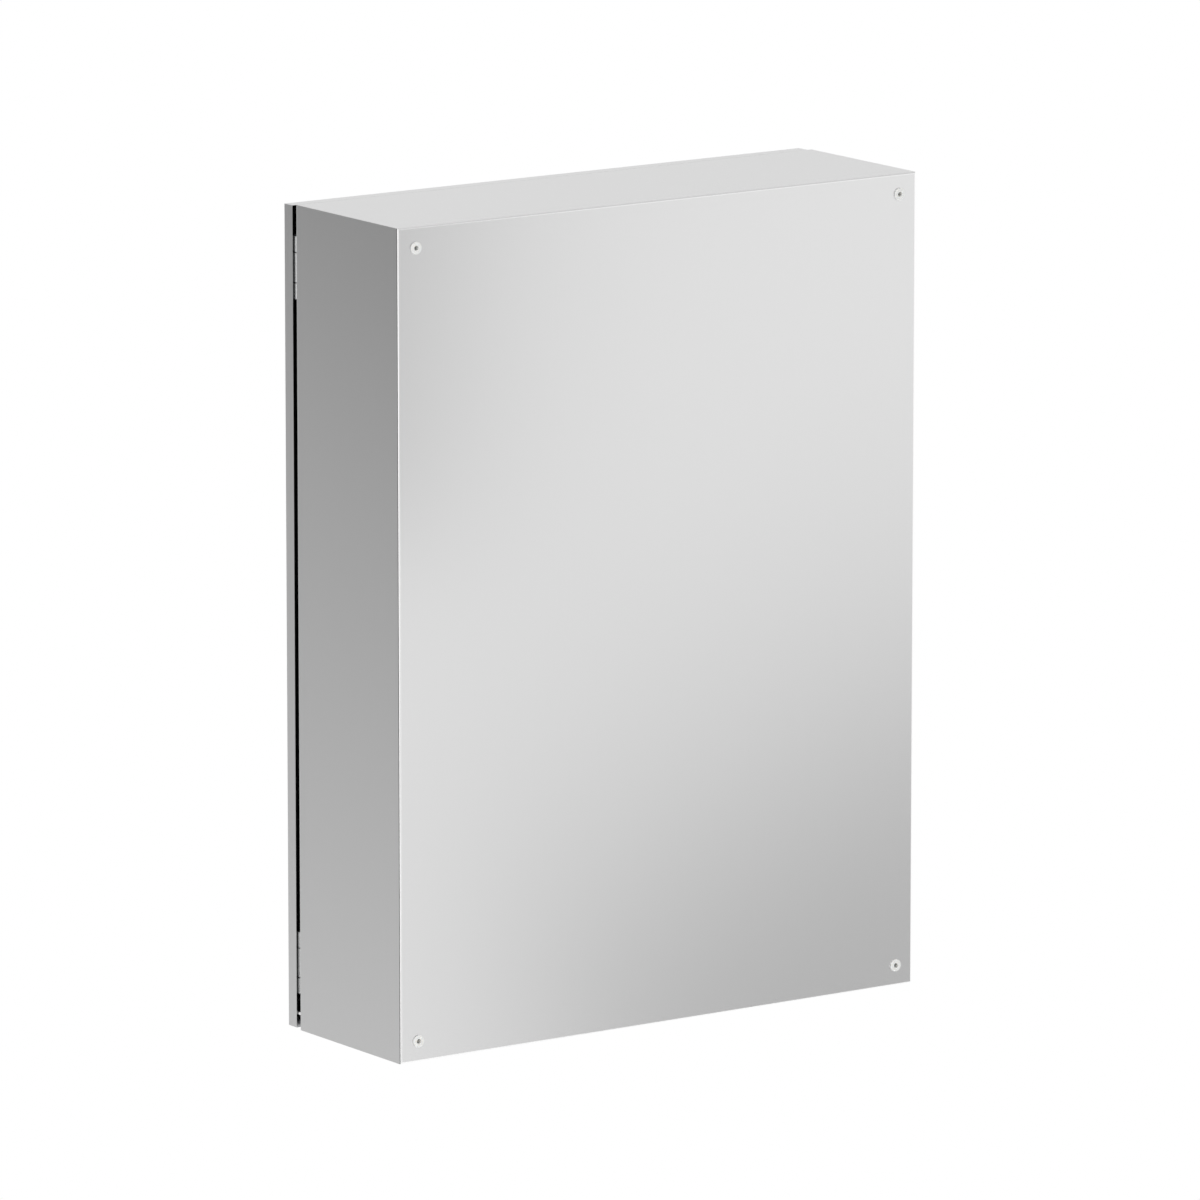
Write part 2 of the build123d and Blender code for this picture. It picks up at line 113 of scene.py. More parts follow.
class CabinetFinishes(bpy.types.PropertyGroup):
    """Colours of the materials and the sizes of their patterns."""

    satin_steel: colour_property("Satin steel", "Brushed stainless sheet of the case and the door", "E1E1E1")
    # Lighter steel on the bends: a burnish from the folding tool, and a painted highlight along the folded
    # edges
    burnished: colour_property("Burnished", "Steel burnished by the folding tool at a bend", "FAFAFA")
    # The dull grey band along the rim of the door's back is painted shade for the gap between door and case
    weld_grey: colour_property("Weld grey", "Dull weld zone round the back of the door", "9A9B9C")
    rolled_steel: colour_property("Rolled steel", "Rolled sheet of hinges, rails and clips", "D3D4D4")
    # The hinge pins are painted dark grey as shade in the breaks between the knuckles
    shaded_pin_steel: colour_property("Oiled steel", "Plain steel of the hinge pins, dark with oil", "55565A")
    zinc: colour_property("Zinc", "Zinc plate on screws and on the parts of the catch", "C9CBCD")
    nylon: colour_property("Nylon", "White moulded nylon", "F3F3F0")
    silver: colour_property("Silver", "Silver layer seen through the mirror glass", "EDF1EF")
    glass: colour_property("Glass", "Float glass seen through its face", "F4FAF7")
    glass_edge: colour_property("Glass edge", "Float glass seen through its ground edge", "A9CDBE")
    mirror_paint: colour_property("Mirror paint", "Paint on the back of the mirror", "8D9296")
    foam: colour_property("Foam", "Double sided foam tape", "3C3D3F")
    silicone: colour_property("Silicone", "Clear silicone pads", "F2F4F4")
    ferrite: colour_property("Ferrite", "Sintered magnet", "35363A")
    rubber: colour_property("Rubber", "White buffer rubber", "F0F0EC")

    # Real brush lines, rolling lines and grains are about 0.1 mm wide. They are drawn coarser, to show.
    brush_width: length_property("Brush width", "Width of a brush line, drawn coarse enough to show", 1.1)
    brush_length: length_property("Brush length", "Length of a brush line", 70.0)
    roll_width: length_property("Roll width", "Width of a rolling line, drawn coarse enough to show", 0.8)
    roll_length: length_property("Roll length", "Length of a rolling line", 20.0)
    mould_grain: length_property("Mould grain", "Spark texture of moulded nylon, drawn coarse", 0.7)
    ferrite_grain: length_property("Ferrite grain", "Grain of the sintered magnet, drawn coarse", 0.5)
    foam_cell: length_property("Foam cell", "Size of a cell of the foam", 0.6)
    oil_patch: length_property("Oil patch", "Size of the patches of oil on a pin", 3.0)
    zinc_cloud: length_property("Zinc cloud", "Size of the cloudy patches of zinc plate", 2.5)
    # Width of that band of painted shade, and the width over which it fades
    weld_zone: length_property("Weld zone", "Width of the weld zone round the back of the door", 11.0)
    weld_blend: length_property("Weld blend", "Width over which the weld zone fades", 1.5)


class CabinetFasteners(bpy.types.PropertyGroup):
    """Sizes of the rivets, screws, weld marks, buffers and rounded edges."""

    rivet_height: length_property("Rivet height", "Height of a rivet head", 0.8)
    mandrel: length_property("Mandrel", "Radius of the dimple that the mandrel leaves", 0.95)
    mandrel_depth: length_property("Mandrel depth", "Depth of that dimple", 0.4)
    rivet_shank: length_property("Rivet shank", "Radius of a rivet shank", 1.2)
    rivet_tail: length_property("Rivet tail", "Radius of the set tail of a rivet", 1.9)
    rivet_tail_height: length_property("Rivet tail height", "Height of the set tail", 0.9)
    rivet_spacing: length_property("Rivet spacing", "Distance between the two rivets of a leaf", 26.0)
    pan_height: length_property("Pan head height", "Height of the domed head of a catch screw", 1.6)
    sunk_depth: length_property("Countersink", "Depth of the cone of a strike screw", 0.9)
    screw_shank: length_property("Screw shank", "Radius of a screw shank", 1.4)
    recess_length: length_property("Recess length", "Length of an arm pair of the cross recess", 2.9)
    recess_width: length_property("Recess width", "Width of an arm of the cross recess", 0.65)
    recess_depth: length_property("Recess depth", "Depth of the cross recess", 0.8)
    weld_mark: length_property("Weld mark", "Radius of a spot weld mark", 1.9)
    weld_swell: length_property("Weld swell", "Height of the rim of a weld mark", 0.12)
    weld_pitch: length_property("Weld pitch", "Distance between weld marks on a rail", 98.0)
    welds_per_foot: IntProperty(
        name="Welds per foot", description="Weld marks on one foot of a rail", default=6
    )
    rail_sheet: length_property("Rail sheet", "Thickness of a rail", 0.8)
    rail_foot: length_property("Rail foot", "Width of a foot of a rail", 6.0)
    bracket_sheet: length_property("Bracket sheet", "Thickness of the catch bracket", 1.0)
    bracket_foot: length_property("Bracket foot", "Length of a foot of the catch bracket", 9.0)
    buffer_radius: length_property("Buffer radius", "Radius of a door buffer", 1.1)
    leaf_edge: length_property("Leaf edge", "Rounding of the edges and knuckle ends of a hinge leaf", 0.35)
    clip_edge: length_property("Clip edge", "Rounding that tumbling leaves on clips and plates", 0.18)
    pad_edge: length_property("Pad edge", "Rounding of the soft shelf pads", 0.25)


class CabinetStage(bpy.types.PropertyGroup):
    """Place of the camera and of the floor."""

    azimuth: FloatProperty(
        name="Azimuth", description="Camera direction round the cabinet", subtype="ANGLE",
        default=math.radians(145.15),
    )
    elevation: FloatProperty(
        name="Elevation", description="Camera height above the horizon", subtype="ANGLE",
        default=math.radians(11.117),
    )
    distance: FloatProperty(name="Distance", description="Camera to aim point", unit="LENGTH", default=7.965)
    aim: FloatVectorProperty(
        name="Aim", description="Point in the middle of the picture", subtype="TRANSLATION",
        default=(0.0342, -0.0279, 0.0100),
    )
    lens: FloatProperty(name="Lens", description="Focal length", unit="CAMERA", default=334.1)
    floor_drop: FloatProperty(
        name="Floor drop", description="Height of the hung cabinet above the floor", unit="LENGTH",
        default=1.1,
    )
    floor_reach: FloatProperty(
        name="Floor reach", description="Distance from the middle of the floor to its edge", unit="LENGTH",
        default=2.4,
    )


def node(tree, kind, inputs=None, **settings):
    """Add a node, give it its settings, and fill its inputs with values or with other nodes' outputs."""
    made = tree.nodes.new(kind)
    for name, value in settings.items():
        setattr(made, name, value)
    for key, value in (inputs or {}).items():
        if isinstance(value, bpy.types.NodeSocket):
            tree.links.new(value, made.inputs[key])
        else:
            made.inputs[key].default_value = value
    return made


def cleared_tree(owner):
    """The node tree of a material or a world, with nothing in it."""
    owner.use_nodes = True
    owner.node_tree.nodes.clear()
    return owner.node_tree


def add_object(name, data):
    """A new object in the scene."""
    made = bpy.data.objects.new(name, data)
    bpy.context.scene.collection.objects.link(made)
    return made


def new_material(name, **sockets):
    """A material with one Principled shader whose uniform sockets are set directly."""
    material = bpy.data.materials.new(name)
    material.use_nodes = True
    tree = material.node_tree
    shader = tree.nodes["Principled BSDF"]
    for key, value in sockets.items():
        shader.inputs[key.replace("_", " ")].default_value = value
    return material, tree, shader


def once(maker):
    """The material that a function makes, made only the first time it is asked for."""
    return bpy.data.materials.get(maker.__name__) or maker()


def shade(colour, share):
    """A colour made darker or lighter by a share."""
    return [min(1.0, channel * share) for channel in colour[:3]] + [1.0]


def finishes():
    """The colours and pattern sizes that the user has set."""
    return bpy.context.scene.cabinet_finishes


def shell_zones(tree, normal, outward, hidden_side):
    """Four masks of a folded shell: where it lies flat, where it is bent, where it looks towards its own
    middle, and where it looks to its hidden side."""
    turn = node(tree, "ShaderNodeVectorMath", {0: normal}, operation="ABSOLUTE")
    part = node(tree, "ShaderNodeSeparateXYZ", {0: turn.outputs[0]}).outputs
    lying = node(tree, "ShaderNodeMath", {0: part["Z"], 1: LYING}, operation="GREATER_THAN")
    upright = node(tree, "ShaderNodeMath", {0: part["X"], 1: part["Y"]}, operation="MAXIMUM")
    square = node(tree, "ShaderNodeMath", {0: upright.outputs[0], 1: part["Z"]}, operation="MAXIMUM")
    bend = node(tree, "ShaderNodeMath", {0: square.outputs[0], 1: BENT}, operation="LESS_THAN")
    facing = node(tree, "ShaderNodeVectorMath", {0: normal, 1: outward}, operation="DOT_PRODUCT")
    inside = node(tree, "ShaderNodeMath", {0: facing.outputs["Value"], 1: 0.0}, operation="LESS_THAN")
    aside = node(tree, "ShaderNodeVectorMath", {0: normal, 1: hidden_side}, operation="DOT_PRODUCT")
    hidden = node(tree, "ShaderNodeMath", {0: aside.outputs["Value"], 1: SQUARE_ON}, operation="GREATER_THAN")
    return [mask.outputs[0] for mask in (lying, bend, inside, hidden)]


def weld_rim(tree, outward, half_size, weld_zone, hidden):
    """A mask of the band of painted shade, which runs along the rim of the hidden side where the gap between
    door and case lies.
    """
    reach = node(tree, "ShaderNodeVectorMath", {0: outward}, operation="ABSOLUTE")
    inner = [half - weld_zone for half in half_size]
    beyond = node(tree, "ShaderNodeVectorMath", {0: reach.outputs[0], 1: inner}, operation="SUBTRACT")
    part = node(tree, "ShaderNodeSeparateXYZ", {0: beyond.outputs[0]}).outputs
    rim = node(tree, "ShaderNodeMath", {0: part["X"], 1: part["Z"]}, operation="MAXIMUM")
    near = node(tree, "ShaderNodeMapRange", {0: rim.outputs[0], 2: finishes().weld_blend})
    return node(tree, "ShaderNodeMath", {0: near.outputs[0], 1: hidden}, operation="MULTIPLY").outputs[0]


def satin_stainless(name, middle, half_size, hidden_side, weld_zone):
    """Stainless sheet brushed upright with a fine belt: broad soft reflections, drawn out
    sideways, with fine upright lines that shift a little in gloss. The bends are lighter and smoother,
    from a burnish by the folding tool and from a painted highlight along the folded edges. Faces that look
    towards the middle of the piece keep the hazy finish of the mill, those on its hidden side are smoother,
    and a band along the rim of that side is painted dull grey as shade for the gap between door and case."""
    looks = finishes()
    drift = 0.006
    width = 1 / looks.brush_width
    length = 1 / looks.brush_length
    material, tree, shader = new_material(name, Metallic=1.0, Anisotropic=0.3)
    coords = node(tree, "ShaderNodeTexCoord").outputs
    outward = node(
        tree, "ShaderNodeVectorMath", {0: coords["Object"], 1: middle}, operation="SUBTRACT"
    ).outputs[0]
    lying, bend, inside, hidden = shell_zones(tree, coords["Normal"], outward, hidden_side)
    # A band of painted shade along the rim of the hidden side
    gap_shaded = weld_rim(tree, outward, half_size, weld_zone, hidden)

    stretch = node(
        tree, "ShaderNodeMix", {0: lying, 4: (width, width, length), 5: (width, length, width)},
        data_type="VECTOR",
    )
    along = node(
        tree, "ShaderNodeVectorMath", {0: coords["Object"], 1: stretch.outputs[1]}, operation="MULTIPLY"
    )
    brush = node(
        tree, "ShaderNodeTexNoise", {"Vector": along.outputs[0], "Scale": 1.0, "Detail": 3.0}
    ).outputs[0]
    lines = {0: brush, 1: NOISE_LOW, 2: NOISE_HIGH}
    brushed, hazy, smooth = [
        node(tree, "ShaderNodeMapRange", lines | {3: least, 4: greatest}).outputs[0]
        for least, greatest in (BRUSHED_ROUGHNESS, MILL_ROUGHNESS, HIDDEN_ROUGHNESS)
    ]
    gloss = brushed
    for mask, other in ((inside, hazy), (hidden, smooth), (bend, BURNISHED_ROUGHNESS)):
        gloss = node(tree, "ShaderNodeMix", {0: mask, 2: gloss, 3: other}, data_type="FLOAT").outputs[0]

    tone = node(
        tree, "ShaderNodeMix",
        {0: brush, 6: shade(looks.satin_steel, 1 - drift), 7: shade(looks.satin_steel, 1 + drift)},
        data_type="RGBA",
    ).outputs[2]
    # Painted shade in the band along the rim of the door's back, and lighter steel on the bends that paints a
    # highlight
    for mask, other in ((gap_shaded, looks.weld_grey), (bend, looks.burnished)):
        tone = node(tree, "ShaderNodeMix", {0: mask, 6: tone, 7: other}, data_type="RGBA").outputs[2]

    around = node(tree, "ShaderNodeTangent", direction_type="RADIAL", axis="Z")
    tangent = node(
        tree, "ShaderNodeMix", {0: lying, 4: around.outputs[0], 5: (1, 0, 0)}, data_type="VECTOR"
    )
    tree.links.new(gloss, shader.inputs["Roughness"])
    tree.links.new(tone, shader.inputs["Base Color"])
    tree.links.new(tangent.outputs[1], shader.inputs["Tangent"])
    return material


def rolled_stainless():
    """Cold rolled stainless sheet and wire: smoother than the satin face, with faint rolling lines."""
    looks = finishes()
    drift = 0.05
    least, greatest = 0.2, 0.28
    fine = 1 / looks.roll_width
    material, tree, shader = new_material("rolled_stainless", Metallic=1.0)
    coords = node(tree, "ShaderNodeTexCoord").outputs
    lines = node(
        tree, "ShaderNodeVectorMath",
        {0: coords["Object"], 1: (fine, fine, 1 / looks.roll_length)}, operation="MULTIPLY",
    )
    rolling = node(
        tree, "ShaderNodeTexNoise", {"Vector": lines.outputs[0], "Scale": 1.0, "Detail": 2.0}
    ).outputs[0]
    gloss = node(
        tree, "ShaderNodeMapRange", {0: rolling, 1: NOISE_LOW, 2: NOISE_HIGH, 3: least, 4: greatest}
    )
    tone = node(
        tree, "ShaderNodeMix",
        {0: rolling, 6: shade(looks.rolled_steel, 1 - drift), 7: shade(looks.rolled_steel, 1 + drift)},
        data_type="RGBA",
    )
    tree.links.new(gloss.outputs[0], shader.inputs["Roughness"])
    tree.links.new(tone.outputs[2], shader.inputs["Base Color"])
    return material


def cloudy_metal(name, colour, patch, least, greatest):
    """A metal whose tone drifts in soft patches, and its roughness from the least to the greatest."""
    darkest, lightest = 0.9, 1.05
    material, tree, shader = new_material(name, Metallic=1.0)
    coords = node(tree, "ShaderNodeTexCoord").outputs
    cloud = node(
        tree, "ShaderNodeTexNoise", {"Vector": coords["Object"], "Scale": 1 / patch, "Detail": 3.0}
    ).outputs[0]
    gloss = node(
        tree, "ShaderNodeMapRange", {0: cloud, 1: NOISE_LOW, 2: NOISE_HIGH, 3: least, 4: greatest}
    )
    tone = node(
        tree, "ShaderNodeMix", {0: cloud, 6: shade(colour, darkest), 7: shade(colour, lightest)},
        data_type="RGBA",
    )
    tree.links.new(gloss.outputs[0], shader.inputs["Roughness"])
    tree.links.new(tone.outputs[2], shader.inputs["Base Color"])
    return material


def bright_zinc():
    """Bright zinc on pressed and headed steel: cool grey, cloudy gloss."""
    looks = finishes()
    return cloudy_metal("bright_zinc", looks.zinc, looks.zinc_cloud, least=0.22, greatest=0.4)


def shaded_pin_steel():
    """Drawn steel pin with patches of oil, patchy and half gloss, painted dark grey as shade in the breaks
    between the knuckles.
    """
    looks = finishes()
    return cloudy_metal("shaded_pin_steel", looks.shaded_pin_steel, looks.oil_patch, least=0.3, greatest=0.5)


def moulded(name, colour, grain, roughness, depth, **sockets):
    """A moulded, foamed or sintered body with the grain of its mould: slight changes of tone and gloss,
    and a fine bump."""
    darkest, lightest = 0.95, 1.02
    spread = 0.05
    material, tree, shader = new_material(name, **sockets)
    coords = node(tree, "ShaderNodeTexCoord").outputs
    texture = node(
        tree, "ShaderNodeTexNoise", {"Vector": coords["Object"], "Scale": 1 / grain, "Detail": 4.0}
    ).outputs[0]
    tone = node(
        tree, "ShaderNodeMix", {0: texture, 6: shade(colour, darkest), 7: shade(colour, lightest)},
        data_type="RGBA",
    )
    gloss = node(
        tree, "ShaderNodeMapRange",
        {0: texture, 1: NOISE_LOW, 2: NOISE_HIGH, 3: roughness - spread, 4: roughness + spread},
    )
    relief = node(tree, "ShaderNodeBump", {"Strength": 0.5, "Distance": depth, "Height": texture})
    tree.links.new(tone.outputs[2], shader.inputs["Base Color"])
    tree.links.new(gloss.outputs[0], shader.inputs["Roughness"])
    tree.links.new(relief.outputs[0], shader.inputs["Normal"])
    return material


def moulded_nylon():
    """Natural nylon from a spark textured mould: white, a little see-through, with a low sheen."""
    looks = finishes()
    return moulded(
        "moulded_nylon", looks.nylon, looks.mould_grain, roughness=0.42, depth=0.02 * MM,
        Subsurface_Weight=0.8, Subsurface_Radius=(1.0, 0.97, 0.93), Subsurface_Scale=1.5 * MM,
    )


def buffer_rubber():
    """White thermoplastic rubber: soft, matt and even."""
    looks = finishes()
    return moulded("buffer_rubber", looks.rubber, looks.mould_grain, roughness=0.6, depth=0.02 * MM)


def foam_tape():
    """Closed cell foam tape: dark, matt and pitted by its cells."""
    looks = finishes()
    return moulded("foam_tape", looks.foam, looks.foam_cell, roughness=0.8, depth=0.1 * MM)


def sintered_ferrite():
    """Pressed and sintered ferrite: nearly black, dull and grainy."""
    looks = finishes()
    return moulded("sintered_ferrite", looks.ferrite, looks.ferrite_grain, roughness=0.55, depth=0.02 * MM)


def clear_silicone():
    """Clear silicone pads: soft gloss, light passes through."""
    looks = finishes()
    return moulded(
        "clear_silicone", looks.silicone, looks.mould_grain, roughness=0.3, depth=0.01 * MM,
        IOR=1.41, Transmission_Weight=0.8,
    )


def silvered_glass():
    """Float glass silvered on its back: a clear reflection in front, green at the ground edge,
    and grey paint behind."""
    looks = finishes()
    polished, painted = 0.015, 0.55
    material, tree, shader = new_material("silvered_glass")
    coords = node(tree, "ShaderNodeTexCoord").outputs
    normal = node(tree, "ShaderNodeSeparateXYZ", {0: coords["Normal"]}).outputs
    front = node(tree, "ShaderNodeMath", {0: normal["Y"], 1: -SQUARE_ON}, operation="LESS_THAN").outputs[0]
    back = node(tree, "ShaderNodeMath", {0: normal["Y"], 1: SQUARE_ON}, operation="GREATER_THAN").outputs[0]
    behind = node(
        tree, "ShaderNodeMix", {0: back, 6: looks.glass_edge, 7: looks.mirror_paint}, data_type="RGBA"
    )
    tone = node(tree, "ShaderNodeMix", {0: front, 6: behind.outputs[2], 7: looks.silver}, data_type="RGBA")
    gloss = node(tree, "ShaderNodeMapRange", {0: back, 3: polished, 4: painted})
    tree.links.new(tone.outputs[2], shader.inputs["Base Color"])
    tree.links.new(front, shader.inputs["Metallic"])
    tree.links.new(gloss.outputs[0], shader.inputs["Roughness"])
    return material


def float_glass():
    """Clear float glass: nearly colourless through the face, green through the ground edge."""
    looks = finishes()
    ground, polished = 0.25, 0.0
    material, tree, shader = new_material("float_glass", IOR=1.52, Transmission_Weight=1.0)
    coords = node(tree, "ShaderNodeTexCoord").outputs
    normal = node(tree, "ShaderNodeSeparateXYZ", {0: coords["Normal"]}).outputs
    slope = node(tree, "ShaderNodeMath", {0: normal["Z"]}, operation="ABSOLUTE").outputs[0]
    face = node(tree, "ShaderNodeMath", {0: slope, 1: SQUARE_ON}, operation="GREATER_THAN").outputs[0]
    tone = node(tree, "ShaderNodeMix", {0: face, 6: looks.glass_edge, 7: looks.glass}, data_type="RGBA")
    gloss = node(tree, "ShaderNodeMapRange", {0: face, 3: ground, 4: polished})
    tree.links.new(tone.outputs[2], shader.inputs["Base Color"])
    tree.links.new(gloss.outputs[0], shader.inputs["Roughness"])
    return material


def paint(material, *names):
    """Give a finish to CAD nodes through their material slots."""
    for name in names:
        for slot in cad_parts[name].material_slots:
            slot.material = material


def new_tree(name, *sizes):
    """A tree that will set one piece on each point that it is given, with a named input for each size."""
    tree = bpy.data.node_groups.new(name, "GeometryNodeTree")
    sockets = [("Points", "NodeSocketGeometry")]
    sockets += [(size, "NodeSocketFloat") for size in sizes]
    sockets += [("Material", "NodeSocketMaterial")]
    for label, kind in sockets:
        tree.interface.new_socket(label, in_out="INPUT", socket_type=kind)
    tree.interface.new_socket("Mesh", in_out="OUTPUT", socket_type="NodeSocketGeometry")
    return tree, node(tree, "NodeGroupInput").outputs


def turned(tree, sizes, profile):
    """A body turned about Z, clockwise so that its faces point outwards. Each row of the profile, from the
    top of the body to its bottom, gives a radius and a height, each as the name of a size and the share of
    it that is taken."""
    rows = len(profile)
    grid = node(tree, "GeometryNodeMeshGrid", {"Vertices X": TURNED_SIDES + 1, "Vertices Y": rows})
    index = node(tree, "GeometryNodeInputIndex").outputs[0]
    row = node(tree, "ShaderNodeMath", {0: index, 1: rows}, operation="MODULO")
    share = node(tree, "ShaderNodeMath", {0: index, 1: rows}, operation="DIVIDE")
    column = node(tree, "ShaderNodeMath", {0: share.outputs[0]}, operation="FLOOR")
    angle = node(
        tree, "ShaderNodeMath", {0: column.outputs[0], 1: -math.tau / TURNED_SIDES}, operation="MULTIPLY"
    )
    place = node(tree, "GeometryNodeIndexSwitch", {0: row.outputs[0]}, data_type="VECTOR")
    for _ in range(rows - len(place.index_switch_items)):
        place.index_switch_items.new()
    for number, (radius, part_of_radius, height, part_of_height) in enumerate(profile):
        out = node(tree, "ShaderNodeMath", {0: sizes[radius], 1: part_of_radius}, operation="MULTIPLY")
        up = node(tree, "ShaderNodeMath", {0: sizes[height], 1: part_of_height}, operation="MULTIPLY")
        point = node(tree, "ShaderNodeCombineXYZ", {"X": out.outputs[0], "Z": up.outputs[0]})
        tree.links.new(point.outputs[0], place.inputs[number + 1])
    spun = node(
        tree, "ShaderNodeVectorRotate", {"Vector": place.outputs[0], "Angle": angle.outputs[0]},
        rotation_type="Z_AXIS",
    )
    shaped = node(
        tree, "GeometryNodeSetPosition", {"Geometry": grid.outputs[0], "Position": spun.outputs[0]}
    )
    return node(tree, "GeometryNodeMergeByDistance", {0: shaped.outputs[0], "Distance": TOUCHING}).outputs[0]


def set_on_points(tree, sizes, body):
    """Smooth a body but for its sharp edges, set a copy on each point along its direction and coat it."""
    bend = node(tree, "GeometryNodeInputMeshEdgeAngle")
    sharp = node(tree, "FunctionNodeCompare", {0: bend.outputs[0], 1: SHARP_EDGE}, operation="GREATER_THAN")
    smooth = node(tree, "GeometryNodeSetShadeSmooth", {0: body, 2: True})
    crisp = node(
        tree, "GeometryNodeSetShadeSmooth",
        {0: smooth.outputs[0], 1: sharp.outputs[0], 2: False}, domain="EDGE",
    )
    way = node(tree, "GeometryNodeInputNamedAttribute", {"Name": "direction"}, data_type="FLOAT_VECTOR")
    aligned = node(tree, "FunctionNodeAlignRotationToVector", {"Vector": way.outputs[0]}, axis="Z")
    placed = node(
        tree, "GeometryNodeInstanceOnPoints",
        {"Points": sizes["Points"], "Instance": crisp.outputs[0], "Rotation": aligned.outputs[0]},
    )
    solid = node(tree, "GeometryNodeRealizeInstances", {0: placed.outputs[0]})
    coated = node(tree, "GeometryNodeSetMaterial", {0: solid.outputs[0], "Material": sizes["Material"]})
    node(tree, "NodeGroupOutput", {0: coated.outputs[0]})
    return tree


def rivet_tree():
    """A blind rivet: a domed head with the dimple of its mandrel, a shank and a set tail."""
    tree, sizes = new_tree(
        "blind_rivet",
        "Head radius", "Head height", "Mandrel", "Dimple floor", "Shank", "Tail", "Grip", "Tail end",
    )
    return set_on_points(tree, sizes, turned(tree, sizes, (
        ("Mandrel", 0.0, "Dimple floor", 1.0),
        ("Mandrel", 0.8, "Dimple floor", 1.0),
        ("Mandrel", 1.0, "Head height", 0.96),
        ("Mandrel", 1.12, "Head height", 1.0),
        ("Head radius", 0.66, "Head height", 0.92),
        ("Head radius", 0.84, "Head height", 0.7),
        ("Head radius", 0.96, "Head height", 0.4),
        ("Head radius", 1.0, "Head height", 0.12),
        ("Head radius", 1.0, "Head height", 0.0),
        ("Shank", 1.0, "Head height", 0.0),
        ("Shank", 1.0, "Grip", -1.0),
        ("Tail", 1.0, "Grip", -1.0),
        ("Tail", 1.0, "Tail end", -0.85),
        ("Tail", 0.7, "Tail end", -1.0),
        ("Tail", 0.0, "Tail end", -1.0),
    )))


def screw_tree():
    """A screw with a cross recess. Its head is a dome over a cone, and either can be flat."""
    tree, sizes = new_tree(
        "cross_screw", "Head radius", "Dome", "Cone", "Shank", "Length",
        "Recess length", "Recess width", "Recess height",
    )
    body = turned(tree, sizes, (
        ("Head radius", 0.0, "Dome", 1.0),
        ("Head radius", 0.5, "Dome", 1.0),
        ("Head radius", 0.74, "Dome", 0.88),
        ("Head radius", 0.92, "Dome", 0.55),
        ("Head radius", 1.0, "Dome", 0.1),
        ("Head radius", 1.0, "Dome", 0.0),
        ("Shank", 1.0, "Cone", -1.0),
        ("Shank", 1.0, "Length", -0.8),
        ("Shank", 0.4, "Length", -1.0),
        ("Shank", 0.0, "Length", -1.0),
    ))
    top = node(tree, "ShaderNodeCombineXYZ", {"Z": sizes["Dome"]})
    cut = node(tree, "GeometryNodeMeshBoolean", {0: body}, operation="DIFFERENCE", solver="EXACT")
    for across, along in (("X", "Y"), ("Y", "X")):
        arm = node(
            tree, "ShaderNodeCombineXYZ",
            {across: sizes["Recess width"], along: sizes["Recess length"], "Z": sizes["Recess height"]},
        )
        bar = node(tree, "GeometryNodeMeshCube", {"Size": arm.outputs[0]})
        raised = node(tree, "GeometryNodeTransform", {0: bar.outputs[0], "Translation": top.outputs[0]})
        tree.links.new(raised.outputs[0], cut.inputs[1])
    clean = node(tree, "GeometryNodeMergeByDistance", {0: cut.outputs[0], "Distance": TOUCHING})
    return set_on_points(tree, sizes, clean.outputs[0])


def weld_tree():
    """The mark of a spot weld: a shallow dent with a low rim."""
    tree, sizes = new_tree("spot_weld", "Radius", "Swell")
    return set_on_points(tree, sizes, turned(tree, sizes, (
        ("Radius", 0.0, "Swell", 0.25),
        ("Radius", 0.5, "Swell", 0.3),
        ("Radius", 0.68, "Swell", 0.9),
        ("Radius", 0.8, "Swell", 1.0),
        ("Radius", 0.92, "Swell", 0.6),
        ("Radius", 1.0, "Swell", -0.2),
        ("Radius", 0.0, "Swell", -0.2),
    )))


def buffer_tree():
    """A rubber buffer with a rounded nose."""
    tree, sizes = new_tree("door_buffer", "Radius", "Height")
    return set_on_points(tree, sizes, turned(tree, sizes, (
        ("Radius", 0.0, "Height", 1.0),
        ("Radius", 0.35, "Height", 0.98),
        ("Radius", 0.62, "Height", 0.92),
        ("Radius", 0.82, "Height", 0.82),
        ("Radius", 0.95, "Height", 0.66),
        ("Radius", 1.0, "Height", 0.45),
        ("Radius", 1.0, "Height", 0.0),
        ("Radius", 0.0, "Height", 0.0),
    )))


def plain_mesh(piece):
    """Replace a piece's mesh by the result of its modifiers, and take them off."""
    graph = bpy.context.evaluated_depsgraph_get()
    mesh = bpy.data.meshes.new_from_object(piece.evaluated_get(graph), depsgraph=graph)
    piece.modifiers.clear()
    piece.data = mesh
    mesh.name = piece.name


def fit(piece, body, slot, *replaced):
    """Keep a piece as a plain mesh that rides on a body, and hide the CAD nodes it replaces."""
    plain_mesh(piece)
    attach(piece, body)
    if replaced:
        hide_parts(*replaced)


def pieces_on(name, tree, places, sizes, body, slot, *replaced):
    """Run a tree on points, each with a direction, and fit the result to a body as one mesh."""
    mesh = bpy.data.meshes.new(name)
    mesh.from_pydata([point for point, way in places], [], [])
    direction = mesh.attributes.new("direction", "FLOAT_VECTOR", "POINT")
    direction.data.foreach_set("vector", [part for point, way in places for part in way])
    piece = add_object(name, mesh)
    maker = piece.modifiers.new(tree.name, "NODES")
    maker.node_group = tree
    for socket in tree.interface.items_tree:
        if socket.name in sizes:
            maker[socket.identifier] = sizes[socket.name]
    fit(piece, body, slot, *replaced)


